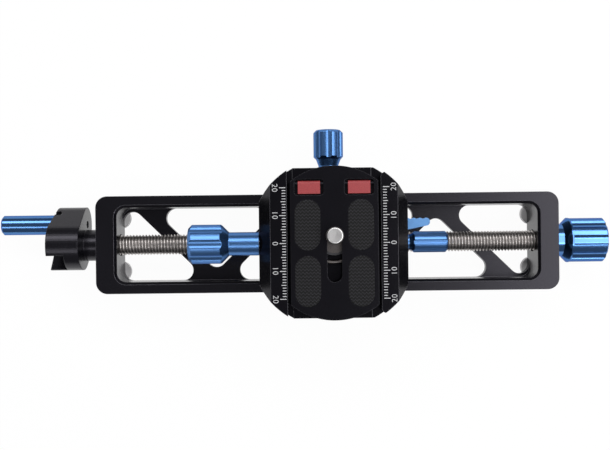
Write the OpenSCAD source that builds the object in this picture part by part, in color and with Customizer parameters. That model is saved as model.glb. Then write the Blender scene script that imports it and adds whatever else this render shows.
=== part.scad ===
// Macro focusing rail: a truss-floored frame, a lead screw with a knob and a folding crank,
// a sliding carriage, and a turning quick-release clamp that holds a camera plate.
// X runs along the rail, Y across it and Z up. The frame's underside is at z = 0.

/* [Rail frame] */
// Length of the frame
rail_l = 180; // [150:0.5:240]
// Width of the dovetail at its lips
rail_w = 38; // [36:0.5:44]
// Height of the frame
rail_h = 16.5; // [15.5:0.1:20]
// Thickness of each end wall
end_wall = 8; // [7:0.1:12]
// Thickness of the side walls at the top
side_wall = 4.5; // [4:0.1:5]
// Radius of the frame's outer corners in plan
rail_corner_r = 4.5; // [2:0.1:6]
// Radius of the window's corners
window_corner_r = 3.7; // [2:0.1:5]
// Chamfer round the top of the window
window_chamfer = 1; // [0.4:0.1:1.5]
// Height of the straight lip of each dovetail edge
lip_h = 1.2; // [0.8:0.1:1.6]
// Depth of the dovetail undercut on each side
undercut = 2; // [1.5:0.1:2.4]
// Thickness of the truss floor
web_t = 2.9; // [1.5:0.1:3.1]
// Width of each truss arm
arm_w = 5.1; // [3.5:0.1:7]
// Radius of the corners between the truss arms
arm_corner_r = 4; // [2.5:0.1:4.5]
// Distance between neighbouring truss arms along the rail
arm_pitch = 29.6; // [27:0.1:34]

/* [Stop screws] */
// Distance of the stop screws from the frame's ends
stop_inset = 6.2; // [5:0.1:8]
// Distance of the stop screws from the frame's long sides
stop_side = 8.2; // [7:0.1:10]
// Diameter of a stop screw's head
stop_head_d = 8.2; // [6:0.1:8.4]
// Height of a stop screw's head
stop_head_h = 2.6; // [2:0.1:4]
// Diameter of a stop screw's shank
stop_shank_d = 3; // [2:0.1:4]
// Depth that a stop screw reaches into the end wall
stop_depth = 6; // [4:0.1:8]

/* [Lead screw] */
// Diameter of the lead screw
screw_d = 8; // [6:0.1:8.2]
// Height of the screw's axis above the frame's underside
screw_z = 7.6; // [7.4:0.05:8.4]
// Outer diameter of the end bearings
bearing_od = 11.6; // [10.8:0.1:12]
// Width of the end bearings
bearing_w = 3.5; // [3:0.1:5]

/* [Drive knob] */
// Diameter of the drive knob
drive_knob_d = 17.7; // [16:0.1:17.7]
// Length of the drive knob with its neck
drive_knob_l = 19.6; // [17:0.1:28]
// Length of the drive knob's neck
drive_neck_l = 3; // [2:0.1:5]
// Diameter of the drive knob's neck
drive_neck_d = 12.9; // [12.6:0.1:14]

/* [Crank] */
// Diameter of the crank's collar
collar_d = 12.4; // [12.2:0.1:14]
// Length of the crank's collar
collar_l = 5.6; // [4:0.1:8]
// Thickness of the solid part of the crank arm
arm_plate_t = 5.8; // [4:0.1:8]
// Diameter of the grip
grip_d = 7.8; // [6:0.1:7.8]
// Length of the grip beyond its pin
grip_l = 23.6; // [18:0.1:30]
// Distance of the grip's axis from the screw's axis, across the rail
grip_y = 8.3; // [7.5:0.1:9]
// Distance of the grip's axis below the screw's axis
grip_drop = 1.4; // [0.8:0.1:1.6]
// Diameter of the grip's pin
grip_pin_d = 2.6; // [2:0.1:3]
// Slant of the crank arm's outer face, as an angle
arm_slant = 12; // [4:1:16]
// Direction in which the grip folds, as an angle above the horizontal
fold_angle = 38.5; // [36:0.5:42]

/* [Carriage] */
// Place of the carriage along the rail
carriage_x = 1.7; // [-20:0.1:20]
// Length of the carriage
carriage_l = 54; // [50:0.5:55]
// Width of the carriage over its wings
carriage_w = 53; // [50:0.5:55]
// Diameter of the circle that trims the carriage's corners
carriage_d = 60; // [58:0.5:61]
// Thickness of the carriage's plate
carriage_t = 8.9; // [8.7:0.1:9.2]
// Height of the wings' lower edge above the frame's underside
wing_z = 9; // [7:0.1:10]

/* [Nut and release lever] */
// Length of the nut housing
housing_l = 38; // [36:0.5:40]
// Room between the nut housing and the window's sides
housing_room = 2; // [1.5:0.1:2.7]
// Length of the half nut
nut_l = 14; // [10:0.1:16]
// Stroke of the half nut
nut_stroke = 1.5; // [1:0.05:1.6]
// Thickness of the release lever
lever_t = 2.8; // [2:0.1:2.9]
// Distance from the lever's pin to its tip
lever_reach = 20.5; // [18:0.1:24]
// Width of the lever at its waves
lever_w = 4.6; // [4:0.1:5]

/* [Lock knobs] */
// Diameter of the slide lock's knob
slide_knob_d = 11.7; // [10:0.1:13]
// Length of the slide lock's knob
slide_knob_l = 13.8; // [11:0.1:16]
// Diameter of the turning lock's knob
pan_knob_d = 8.1; // [7:0.1:8.1]
// Length of the turning lock's knob
pan_knob_l = 13.4; // [10:0.1:16]
// Diameter of the lock screws
lock_screw_d = 4; // [3:0.1:4.2]

/* [Clamp] */
// Length of the clamp base along the rail
clamp_l = 54.6; // [53.5:0.1:56]
// Width of the clamp base across the rail
clamp_w = 55; // [53:0.1:56]
// Diameter of the circle that trims the clamp's corners
clamp_d = 62.4; // [60.5:0.1:63]
// Thickness of the clamp base's floor
clamp_floor_t = 10.1; // [9.8:0.1:11]
// Height of the jaws above the floor
jaw_h = 5.9; // [5:0.1:6.2]
// Drop of the jaws' outer flanks
flank_drop = 6.6; // [5:0.1:7]
// Width of the jaws' sloped outer flanks
flank_run = 4.3; // [3:0.1:5]
// How far the jaws reach over the plate's foot
jaw_grip = 2.2; // [1.6:0.1:2.8]
// Radius of the moving jaw's inner corners
jaw_corner_r = 1.6; // [0.8:0.1:2]
// Depth of the relief grooves along the clamp's floor
groove_depth = 0.5; // [0.3:0.1:0.6]
// Diameter of the clamp knob
clamp_knob_d = 14.75; // [12:0.1:14.8]
// Length of the clamp knob's grip
clamp_knob_l = 13.2; // [10:0.1:16]
// Diameter of the clamp knob's neck
clamp_neck_d = 8.66; // [7:0.1:9]
// Length of the clamp knob's neck
clamp_neck_l = 11; // [8:0.1:12]

/* [Camera plate] */
// Width of the plate at its dovetail foot
plate_w = 38; // [37:0.1:38.5]
// Length of the plate
plate_l = 55.5; // [54:0.1:60]
// Thickness of the plate
plate_t = 6.4; // [5.8:0.1:7]
// Height of the plate's straight foot
plate_foot_h = 1.6; // [1:0.1:2]
// Radius of the plate's curved ends
plate_end_r = 25.2; // [24.5:0.1:27]
// Width of one rubber pad
pad_w = 9.2; // [8:0.1:10]
// Length of one rubber pad
pad_l = 18.2; // [16:0.1:19]
// Distance of the pads from the plate's middle line
pad_x = 9.6; // [8.6:0.05:9.8]
// Thickness of the rubber pads
pad_t = 1; // [0.6:0.1:1.4]
// Width of the camera screw's slot
slot_w = 5.3; // [5.2:0.05:5.6]
// Travel of the camera screw along its slot
slot_travel = 14; // [8:0.1:15]

/* [Camera screw] */
// Diameter of the camera screw's thread
camera_screw_d = 6.35; // [6.2:0.01:6.4]
// Height of the thread above the plate
camera_screw_h = 5.2; // [4:0.1:6]
// Diameter of the camera screw's flange
camera_flange_d = 14.4; // [12:0.1:15]
// Diameter of the folding ring's wire
ring_wire_d = 1.6; // [1.2:0.1:1.7]

/* [Tabs] */
// Width of a red tab
tab_w = 8; // [7:0.1:8.8]
// Length of a red tab
tab_l = 4.7; // [4:0.1:5]
// Thickness of a red tab
tab_t = 1.9; // [1.5:0.1:2]

/* [Fits] */
// Radial clearance of pins and shafts in their bores
run_fit = 0.03; // [0.02:0.01:0.05]
// Gap between faces that slide on each other
slide_gap = 0.1; // [0.08:0.01:0.15]
// Gap between pieces that pass each other
free_gap = 0.3; // [0.2:0.05:0.4]

/* [Hidden] */
$fn = 64;
// Overrun of a cut past the face that it opens
cut = 1;
// Colours
black_anodised = [0.1, 0.1, 0.11];
blue_anodised = [0.2, 0.45, 0.75];
red_paint = [0.65, 0.22, 0.22];
steel = [0.7, 0.68, 0.66];
brass = [0.75, 0.6, 0.3];
rubber_grey = [0.17, 0.17, 0.18];

// Frame
window_x = rail_l / 2 - end_wall;
window_y = rail_w / 2 - side_wall;
window_w = 2 * window_y;
waist_y = rail_w / 2 - undercut;
arm_count = 5;
shaft_r = screw_d / 2;
// Room round the screw in the end walls
wall_bore_room = 0.4;
wall_bore_r = shaft_r + wall_bore_room;
stop_x = rail_l / 2 - stop_inset;
stop_y = rail_w / 2 - stop_side;
// Lead screw, which starts in the crank's collar and ends in the knob
shaft_end_inset = 3;
shaft_left = -rail_l / 2 - collar_l - arm_plate_t / 2;
shaft_right = rail_l / 2 + drive_knob_l - shaft_end_inset;
// Crank
grip_z = screw_z - grip_drop;
grip_r = grip_d / 2;
arm_face_x = -rail_l / 2 - collar_l;
slot_floor_x = arm_face_x - arm_plate_t;
grip_pin_x = slot_floor_x - free_gap - grip_r;
// How far the crank's cheeks reach past the grip's pin
cheek_reach = 2.4;
arm_outer_x = grip_pin_x - cheek_reach;
grip_slot_half = grip_r + free_gap;
// Rounds of the crank arm's outline: place across, height and radius, as shares of the grip's throw
outline_shares = [[1, -0.169, 0.831], [0, 0.573, 1.169], [0, 0, 0.81]];
detent_d = 3;
// Recess of the pin's ends below the cheeks
pin_recess = 1.4;
grip_pin_half = outline_shares[0][2] * grip_y - pin_recess;
// Carriage
carriage_z = rail_h + slide_gap;
carriage_top = carriage_z + carriage_t;
spindle_d = 22;
disc_rim = 2;
disc_d = spindle_d + 2 * disc_rim;
disc_t = 1.8;
disc_room = disc_t + 2 * free_gap;
lever_pocket_h = lever_t + 2 * free_gap;
lever_z = carriage_z + free_gap;
// Distances of the lever's pin from the housing's end and side
lever_pin_in = 1.7;
lever_pin_side = 2.9;
housing_w = window_w - 2 * housing_room;
lever_pin_x = carriage_x + housing_l / 2 - lever_pin_in;
lever_pin_y = housing_w / 2 - lever_pin_side;
lever_swing = 28;
cam_r = nut_stroke / sin(lever_swing);
cam_pin_d = 2;
cam_arm_r = cam_pin_d * 0.8;
lever_pin_d = 3;
lever_hub_r = lever_pin_d * 1.1;
// How far the arm's lower edge lies from the pin's middle line
lever_low = lever_w * 1.08;
disc_z = carriage_z + free_gap;
pivot_screw_d = 3;
pivot_screw_r = 6;
pivot_screw_l = 4;
// Nut and housing
housing_z = web_t + 2 * slide_gap;
nut_wall = 0.3;
nut_depth = 8.4;
nut_far_y = -nut_depth - slide_gap;
bridge_z = screw_z + shaft_r + 2 * free_gap;
bridge_top = carriage_z - 3 * free_gap;
bridge_wall = 0.6;
bridge_y = lever_pin_y + cam_pin_d / 2 + bridge_wall;
bridge_w = cam_pin_d + 3 * bridge_wall;
bridge_x = lever_pin_x - carriage_x - 2 * free_gap;
cam_shift = cam_r * (1 - cos(lever_swing)) + slide_gap;
housing_screw_d = 3;
housing_head_d = 5.5;
housing_head_h = 3;
housing_screw_l = 5;
// Distances of the housing's screws from its ends and sides, at three of its corners
housing_screw_in = 3.5;
housing_screw_side = 3.9;
housing_corners = [[-1, 1], [-1, -1], [1, -1]];
housing_screw_places = [for (c = housing_corners)
    [c[0] * (housing_l / 2 - housing_screw_in), c[1] * (housing_w / 2 - housing_screw_side)]];
// Locks
// Drop of the slide lock's axis below the frame's top
slide_lock_drop = 2.2;
slide_lock_z = rail_h - slide_lock_drop;
// Lengths of the knobs' necks past the carriage
slide_neck_l = 3.2;
pan_neck_l = 2.1;
slide_knob_start = carriage_w / 2 + free_gap + slide_neck_l;
// Height of the turning lock's axis in the carriage
pan_lock_up = 4.3;
pan_lock_z = carriage_z + pan_lock_up;
pan_knob_start = carriage_l / 2 + free_gap + pan_neck_l;
shoe_d = 6;
shoe_gap = 0.15;
pan_shoe_d = 3.4;
slide_lock_x = -0.9;
// Room of each shoe behind the face that it presses on
slide_shoe_room = 4.2;
pan_shoe_room = 3.4;
// How far a lock's shoe can draw back
lock_travel = 0.9;
shoe_back_y = waist_y + slide_shoe_room;
pan_shoe_back = spindle_d / 2 + pan_shoe_room;
// Clamp
clamp_z = carriage_top + slide_gap;
floor_z = clamp_z + clamp_floor_t;
plate_z = floor_z + slide_gap;
plate_top = plate_z + plate_t;
jaw_top = floor_z + jaw_h;
// Height of the clamp screw's axis in the clamp
clamp_axis_up = 6.6;
clamp_axis_z = clamp_z + clamp_axis_up;
// Length of jaw past the end of the clamp screw
clamp_screw_in = 2;
clamp_screw_d = 5;
plate_x = carriage_x + slide_gap;
dove_run = plate_t - 2 * plate_foot_h;
// Overlap of the plate's foot on the moving jaw
foot_overlap = 0.9;
jaw_split = plate_w / 2 - foot_overlap;
guide_d = 4;
guide_y = 16;
// Height of the jaw guides in the clamp, and how far they reach to each side of the split
guide_up = 4.4;
guide_z = clamp_z + guide_up;
guide_in_base = 12;
guide_in_jaw = 5.5;
guide_start = jaw_split - guide_in_base;
jaw_out = clamp_l / 2 - flank_run;
jaw_foot_x = plate_w / 2 + slide_gap;
jaw_lip_x = jaw_foot_x - jaw_grip;
groove_w = 4.2;
// Distance of the moving jaw's ends from the clamp's middle line
jaw_end_y = sqrt(pow(clamp_d / 2, 2) - pow(jaw_split, 2)) - slide_gap;
// Camera plate
recess_h = 3.5;
ring_r = 9.6;
recess_half = ring_r + ring_wire_d / 2 + 2 * free_gap;
camera_y = 2.6;
flange_t = 1.2;
washer_t = 0.5;
neck_d = slot_w - free_gap;
tab_x = 9;
tab_y = 20.05;
tab_pin_d = 1;
// Room of a tab in its pocket at each side, at each end and below it
pocket_side = 1.25;
pocket_end = 0.5;
pocket_under = 0.5;
pocket_w = tab_w + 2 * pocket_side;
pocket_l = tab_l + 2 * pocket_end;
pocket_h = tab_t + pocket_under;
pocket_corner_r = 1.2;
tab_pin_y = tab_y + tab_l / 2 - tab_t / 2;
// How far a tab's pin reaches into each side of its pocket
tab_pin_hold = 0.7;
tab_pin_l = pocket_w + 2 * tab_pin_hold;
pad_seat = pad_t * 0.8;
flange_z = plate_z + recess_h - washer_t - 2 * slide_gap - flange_t;
ring_z = flange_z - ring_wire_d / 2 - slide_gap / 2;
pad_row_shares = [0.117, -0.247];

// A flat box with rounded vertical edges, centred on the axis
module rounded_slab(l, w, h, r) {
    linear_extrude(h)
        union() {
            square([l - 2 * r, w], center = true);
            square([l, w - 2 * r], center = true);
            for (sx = [-1, 1], sy = [-1, 1])
                translate([sx * (l / 2 - r), sy * (w / 2 - r)]) circle(r);
        }
}

// A long slot with round ends along Y
module stadium(w, l) {
    square([w, l - w], center = true);
    for (s = [-1, 1]) translate([0, s * (l - w) / 2]) circle(d = w);
}

// A knob along +Z: a neck, a flare, and a fluted grip with both ends bevelled
module fluted_knob(d, grip_l, neck_d, neck_l, flare_l, bevel, flutes, bore_d, bore_l) {
    flute_d = d * 0.36;
    flute_start = max(0, d * 0.09 - bevel);
    difference() {
        rotate_extrude()
            polygon([[0, 0], [neck_d / 2, 0], [neck_d / 2, neck_l], [d / 2 - bevel, neck_l + flare_l],
                [d / 2, neck_l + flare_l + bevel], [d / 2, neck_l + flare_l + grip_l - bevel],
                [d / 2 - bevel, neck_l + flare_l + grip_l], [0, neck_l + flare_l + grip_l]]);
        for (i = [0:flutes - 1])
            rotate(i * 360 / flutes)
                translate([d / 2 + flute_d * 0.36, 0, neck_l + flare_l + flute_start])
                    cylinder(d = flute_d, h = grip_l + cut, $fn = 32);
        translate([0, 0, -cut]) cylinder(d = bore_d, h = bore_l + cut);
    }
}

// The dovetail section of the frame, drawn in Y and Z and run along X
module rail_section() {
    y1 = rail_w / 2;
    polygon([[-y1, 0], [y1, 0], [y1, lip_h], [waist_y, lip_h + undercut],
        [waist_y, rail_h - lip_h - undercut], [y1, rail_h - lip_h], [y1, rail_h],
        [-y1, rail_h], [-y1, rail_h - lip_h], [-waist_y, rail_h - lip_h - undercut],
        [-waist_y, lip_h + undercut], [-y1, lip_h]]);
}

// One gap of the truss floor: a trapezium between two arms, its corners rounded
module truss_gap(corners) {
    offset(arm_corner_r) offset(-arm_corner_r) polygon(corners);
}

// The gaps of the truss floor. Each arm crosses the window from one side wall to the other.
module truss_gaps() {
    half = arm_w / 2 * sqrt(pow(window_w, 2) + pow(arm_pitch, 2)) / window_w;
    drop = half * window_w / arm_pitch;
    first = -arm_pitch * arm_count / 2;
    last = arm_pitch * arm_count / 2;
    truss_gap([[-window_x, -window_y], [first + arm_pitch - half, -window_y],
        [first - half, window_y], [-window_x, window_y]]);
    for (i = [0:arm_count - 2]) {
        s = i % 2 == 0 ? 1 : -1;
        x = first + arm_pitch * (i + 1);
        truss_gap([[x - arm_pitch + half, s * window_y], [x + arm_pitch - half, s * window_y],
            [x, s * (drop - window_y)]]);
    }
    truss_gap([[window_x, window_y], [window_x, -window_y], [last + half, -window_y],
        [last - arm_pitch + half, window_y]]);
}

module rail_frame() {
    y1 = rail_w / 2;
    color(black_anodised)
        difference() {
            intersection() {
                translate([-rail_l / 2, 0, 0]) rotate([90, 0, 90]) linear_extrude(rail_l) rail_section();
                rounded_slab(rail_l, rail_w, rail_h, rail_corner_r);
            }
            translate([0, 0, web_t])
                rounded_slab(2 * window_x, window_w, rail_h, window_corner_r);
            window_bevel();
            translate([0, 0, -cut]) linear_extrude(web_t + 2 * cut) truss_gaps();
            for (s = [-1, 1]) {
                translate([s * rail_l / 2, 0, screw_z]) rotate([0, -s * 90, 0]) {
                    translate([0, 0, -cut]) cylinder(r = wall_bore_r, h = end_wall + 2 * cut);
                    translate([0, 0, -cut]) cylinder(d = bearing_od + 2 * run_fit, h = bearing_w + cut);
                }
                for (sy = [-1, 1])
                    translate([s * stop_x, sy * stop_y, -cut])
                        cylinder(d = stop_shank_d, h = stop_depth + cut);
            }
        }
}

// The chamfer round the window's upper edge: four straight bevels and four cones
module window_bevel() {
    c = window_chamfer;
    r = window_corner_r;
    for (s = [-1, 1]) {
        translate([0, s * window_y, rail_h]) rotate([45, 0, 0])
            cube([2 * (window_x - r), c * sqrt(2), c * sqrt(2)], center = true);
        translate([s * window_x, 0, rail_h]) rotate([0, 45, 0])
            cube([c * sqrt(2), 2 * (window_y - r), c * sqrt(2)], center = true);
        for (sy = [-1, 1])
            translate([s * (window_x - r), sy * (window_y - r), rail_h - c])
                cylinder(r1 = r, r2 = r + 2 * c, h = 2 * c);
    }
}

module stop_screws() {
    color(steel)
        for (sx = [-1, 1], sy = [-1, 1])
            translate([sx * stop_x, sy * stop_y, 0])
                rotate([180, 0, 0])
                    difference() {
                        union() {
                            cylinder(d = stop_head_d, h = stop_head_h);
                            translate([0, 0, -stop_depth]) cylinder(d = stop_shank_d, h = stop_depth);
                        }
                        translate([0, 0, stop_head_h / 2])
                            cylinder(d = stop_shank_d * 0.8, h = stop_head_h, $fn = 6);
                    }
}

module end_bearing() {
    rotate([0, 90, 0])
        difference() {
            cylinder(d = bearing_od, h = bearing_w);
            translate([0, 0, -cut]) cylinder(r = shaft_r + run_fit, h = bearing_w + 2 * cut);
        }
}

module left_bearing() {
    color(steel) translate([-rail_l / 2, 0, screw_z]) end_bearing();
}

module right_bearing() {
    color(steel) translate([rail_l / 2 - bearing_w, 0, screw_z]) end_bearing();
}

module lead_screw() {
    color(steel)
        translate([shaft_left, 0, screw_z]) rotate([0, 90, 0])
            cylinder(r = shaft_r, h = shaft_right - shaft_left);
}

module drive_knob() {
    bevel = drive_knob_d * 0.03;
    flare_l = (drive_knob_d - drive_neck_d) / 2 - bevel;
    color(blue_anodised)
        translate([rail_l / 2 + slide_gap, 0, screw_z]) rotate([0, 90, 0])
            fluted_knob(drive_knob_d, drive_knob_l - slide_gap - drive_neck_l - flare_l, drive_neck_d,
                drive_neck_l, flare_l, bevel, 8, screw_d, drive_knob_l - slide_gap - shaft_end_inset);
}

// The crank arm's outline, drawn in Y and Z about the screw's axis
module crank_outline() {
    hull()
        for (p = outline_shares)
            translate([p[0] * grip_y, p[1] * grip_y]) circle(p[2] * grip_y);
}

module crank_arm() {
    color(black_anodised)
        difference() {
            union() {
                translate([arm_outer_x, 0, screw_z]) rotate([90, 0, 90])
                    linear_extrude(arm_face_x - arm_outer_x) crank_outline();
                translate([arm_face_x - cut, 0, screw_z]) rotate([0, 90, 0])
                    cylinder(d = collar_d, h = collar_l + cut - slide_gap);
            }
            translate([shaft_left, 0, screw_z]) rotate([0, 90, 0])
                cylinder(r = shaft_r, h = collar_l + arm_plate_t + cut);
            translate([arm_outer_x, grip_y - cheek_reach / 2, screw_z]) rotate([0, 0, -arm_slant])
                translate([-2 * grip_y, 0, -2 * grip_y]) cube([2 * grip_y, 2 * grip_y, 4 * grip_y]);
            translate([slot_floor_x, grip_y, grip_z]) rotate([-fold_angle, 0, 0])
                translate([-2 * grip_d, -2 * grip_l + grip_slot_half, -grip_slot_half])
                    cube([2 * grip_d, 2 * grip_l, 2 * grip_slot_half]);
            translate([grip_pin_x, grip_y, grip_z]) rotate([-fold_angle, 0, 0])
                cylinder(d = grip_pin_d, h = 4 * grip_d, center = true);
            translate([slot_floor_x - cut, grip_y, grip_z]) rotate([0, 90, 0])
                cylinder(d = detent_d, h = arm_plate_t + 2 * cut);
        }
}

module grip_pin() {
    color(steel)
        translate([grip_pin_x, grip_y, grip_z]) rotate([-fold_angle, 0, 0])
            cylinder(d = grip_pin_d, h = 2 * grip_pin_half, center = true);
}

// A set screw whose ball end holds the grip in its two positions
module detent_screw() {
    color(steel)
        translate([slot_floor_x - slide_gap, grip_y, grip_z]) rotate([0, 90, 0])
            difference() {
                cylinder(d = detent_d, h = arm_plate_t - free_gap);
                translate([0, 0, arm_plate_t - 2 * detent_d / 3])
                    cylinder(d = detent_d / 2, h = detent_d, $fn = 6);
            }
}

module crank_grip() {
    bevel = grip_d * 0.08;
    color(blue_anodised)
        difference() {
            union() {
                translate([grip_pin_x, grip_y, grip_z]) rotate([0, -90, 0]) {
                    cylinder(r = grip_r, h = grip_l - bevel);
                    translate([0, 0, grip_l - bevel])
                        cylinder(r1 = grip_r, r2 = grip_r - bevel, h = bevel);
                }
                intersection() {
                    translate([grip_pin_x - cut, grip_y, grip_z]) rotate([0, 90, 0])
                        cylinder(r = grip_r, h = grip_d);
                    translate([grip_pin_x, grip_y, grip_z]) rotate([-fold_angle, 0, 0])
                        cylinder(r = grip_r, h = grip_d, center = true);
                }
            }
            translate([grip_pin_x, grip_y, grip_z]) rotate([-fold_angle, 0, 0])
                cylinder(r = grip_pin_d / 2 + run_fit, h = 2 * grip_d, center = true);
        }
}

// Section of one wing in Y and Z, hooked under the frame's upper dovetail
module wing_section() {
    lip_y = rail_w / 2 + shoe_gap;
    lip_z = rail_h - lip_h - shoe_gap * 0.41;
    polygon([[carriage_w / 2, wing_z], [carriage_w / 2, carriage_z + cut], [lip_y, carriage_z + cut],
        [lip_y, lip_z], [waist_y + shoe_gap, lip_z - undercut], [waist_y + shoe_gap, wing_z]]);
}

// Where the release lever swings, drawn from its pin
module lever_room() {
    side = lever_low + 2 * free_gap;
    reach = carriage_l / 2;
    union() {
        circle(lever_hub_r + free_gap);
        for (turn = [0, lever_swing / 2, lever_swing]) rotate(turn) {
            translate([-cam_r, 0]) circle(cam_arm_r + free_gap);
            translate([-cam_r, -cam_arm_r - free_gap]) square([cam_r, 2 * cam_arm_r + 2 * free_gap]);
        }
        polygon([[-free_gap, -side], [reach, -side], [reach, reach * tan(lever_swing) + side],
            [0, lever_hub_r + free_gap]]);
    }
}

module carriage() {
    color(black_anodised)
        translate([carriage_x, 0, 0])
            difference() {
                intersection() {
                    union() {
                        translate([-carriage_l / 2, -carriage_w / 2, carriage_z])
                            cube([carriage_l, carriage_w, carriage_t]);
                        for (m = [0, 1])
                            mirror([0, m, 0]) translate([-carriage_l / 2, 0, 0])
                                rotate([90, 0, 90]) linear_extrude(carriage_l) wing_section();
                    }
                    cylinder(d = carriage_d, h = 2 * carriage_top, $fn = 128);
                }
                translate([0, 0, carriage_z - cut]) cylinder(d = spindle_d + 2 * run_fit, h = 2 * carriage_t);
                translate([0, 0, carriage_z - cut]) cylinder(d = disc_d + 2 * free_gap, h = disc_room + cut);
                translate([lever_pin_x - carriage_x, lever_pin_y, carriage_z - cut])
                    linear_extrude(lever_pocket_h + cut) lever_room();
                translate([lever_pin_x - carriage_x, lever_pin_y, carriage_z])
                    cylinder(d = lever_pin_d, h = lever_pocket_h + lever_pin_d);
                for (p = housing_screw_places)
                    translate([p[0], p[1], carriage_z - cut])
                        cylinder(d = housing_screw_d, h = housing_screw_l + cut);
                translate([slide_lock_x, 0, slide_lock_z]) rotate([-90, 0, 0]) {
                    cylinder(r = shoe_d / 2 + run_fit, h = shoe_back_y + lock_travel);
                    cylinder(r = lock_screw_d / 2 + run_fit, h = carriage_w);
                }
                translate([0, 0, pan_lock_z]) rotate([0, 90, 0]) {
                    cylinder(r = pan_shoe_d / 2 + run_fit, h = pan_shoe_back);
                    translate([0, 0, pan_shoe_back - free_gap])
                        cylinder(r = lock_screw_d / 2 + run_fit, h = carriage_l);
                }
            }
}

module nut_housing() {
    color(black_anodised)
        translate([carriage_x, 0, 0])
            difference() {
                translate([-housing_l / 2, -housing_w / 2, housing_z])
                    cube([housing_l, housing_w, carriage_z - housing_z]);
                translate([-housing_l, 0, screw_z]) rotate([0, 90, 0])
                    cylinder(r = shaft_r + free_gap, h = 2 * housing_l);
                translate([-nut_l / 2 - slide_gap, nut_far_y - nut_stroke - free_gap, housing_z + nut_wall])
                    cube([nut_l + 2 * slide_gap, nut_depth + nut_stroke + shaft_r + free_gap, rail_h]);
                translate([-nut_l / 2 - slide_gap, nut_far_y - nut_stroke - free_gap, bridge_z - slide_gap])
                    cube([nut_l + 2 * slide_gap, bridge_y - nut_far_y + nut_stroke + 2 * free_gap, rail_h]);
                translate([0, bridge_y - bridge_w - nut_stroke - free_gap, bridge_z - slide_gap])
                    cube([bridge_x + free_gap, bridge_w + nut_stroke + 2 * free_gap, rail_h]);
                for (p = housing_screw_places)
                    translate([p[0], p[1], housing_z - cut]) {
                        cylinder(d = housing_screw_d, h = rail_h);
                        cylinder(d = housing_head_d + 2 * free_gap, h = housing_head_h + cut);
                    }
            }
}

module housing_screws() {
    color(steel)
        for (p = housing_screw_places)
            translate([carriage_x + p[0], p[1], housing_z])
                difference() {
                    union() {
                        cylinder(d = housing_head_d, h = housing_head_h);
                        cylinder(d = housing_screw_d, h = carriage_z - housing_z + housing_screw_l);
                    }
                    translate([0, 0, -cut])
                        cylinder(d = housing_screw_d, h = housing_head_h / 2 + cut, $fn = 6);
                }
}

// A nut cut in half along the screw, bridged over the screw to the lever's cam pin
module half_nut() {
    bottom = housing_z + nut_wall + slide_gap;
    color(brass)
        translate([carriage_x, 0, 0])
            difference() {
                union() {
                    translate([-nut_l / 2, nut_far_y, bottom]) cube([nut_l, nut_depth, bridge_top - bottom]);
                    translate([-nut_l / 2, nut_far_y, bridge_z])
                        cube([nut_l, bridge_y - nut_far_y, bridge_top - bridge_z]);
                    translate([0, bridge_y - bridge_w, bridge_z])
                        cube([bridge_x, bridge_w, bridge_top - bridge_z]);
                }
                translate([-nut_l, 0, screw_z]) rotate([0, 90, 0])
                    cylinder(r = shaft_r + run_fit, h = 2 * nut_l);
                translate([lever_pin_x - carriage_x - cam_r, lever_pin_y, bridge_z - cut]) {
                    cylinder(d = cam_pin_d + 2 * slide_gap, h = rail_h);
                    translate([cam_shift, 0, 0]) cylinder(d = cam_pin_d + 2 * slide_gap, h = rail_h);
                    translate([0, -cam_pin_d / 2 - slide_gap, 0])
                        cube([cam_shift, cam_pin_d + 2 * slide_gap, rail_h]);
                }
            }
}

module lever_pin() {
    color(steel)
        translate([lever_pin_x, lever_pin_y, lever_z])
            cylinder(d = lever_pin_d, h = lever_pocket_h + lever_pin_d - free_gap);
}

// The lever's outline from its pin: a hub, a tapering arm, and shallow waves for the thumb
module lever_outline() {
    tip_r = lever_w / 3;
    tip_x = lever_reach - tip_r;
    wave_pitch = lever_w * 0.52;
    wave_r = wave_pitch * 0.6;
    crest_y = -lever_w * 0.08;
    valley_y = -lever_w * 0.15;
    union() {
        circle(lever_hub_r);
        translate([-cam_r, 0]) circle(cam_arm_r);
        translate([-cam_r, -cam_arm_r]) square([cam_r, 2 * cam_arm_r]);
        polygon([[0, -lever_low], [lever_reach * 0.55, -lever_low], [tip_x, crest_y - 2 * tip_r],
            [tip_x, valley_y], [0, valley_y]]);
        translate([tip_x, crest_y - tip_r]) circle(tip_r);
        for (i = [1:3]) translate([tip_x - wave_pitch * i, crest_y - wave_r]) circle(wave_r);
    }
}

module release_lever() {
    color(blue_anodised)
        translate([lever_pin_x, lever_pin_y, lever_z])
            difference() {
                union() {
                    linear_extrude(lever_t) lever_outline();
                    translate([-cam_r, 0, bridge_z + slide_gap - lever_z])
                        cylinder(d = cam_pin_d, h = lever_z - bridge_z + slide_gap);
                }
                translate([0, 0, -cut]) cylinder(r = lever_pin_d / 2 + run_fit, h = lever_t + 2 * cut);
            }
}

// A brass shoe whose slanted end follows the frame's dovetail
module slide_lock_shoe() {
    flank_back = shoe_d;
    color(brass)
        difference() {
            translate([carriage_x + slide_lock_x, waist_y + shoe_gap, slide_lock_z]) rotate([-90, 0, 0])
                cylinder(d = shoe_d, h = shoe_back_y - waist_y - shoe_gap);
            translate([carriage_x - shoe_d, 0, -shoe_gap * sqrt(2)])
                rotate([90, 0, 90]) linear_extrude(2 * shoe_d)
                    polygon([[waist_y - flank_back, rail_h - lip_h - undercut - flank_back],
                        [rail_w / 2, rail_h - lip_h], [rail_w / 2, rail_h + cut],
                        [waist_y - flank_back, rail_h + cut]]);
            translate([carriage_x - shoe_d, 0, rail_h - lip_h - shoe_gap])
                cube([2 * shoe_d, rail_w / 2 + shoe_gap, shoe_d]);
        }
}

module slide_lock_screw() {
    color(steel)
        translate([carriage_x + slide_lock_x, shoe_back_y, slide_lock_z]) rotate([-90, 0, 0])
            cylinder(d = lock_screw_d, h = slide_knob_start + slide_knob_l / 2 - shoe_back_y);
}

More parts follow.
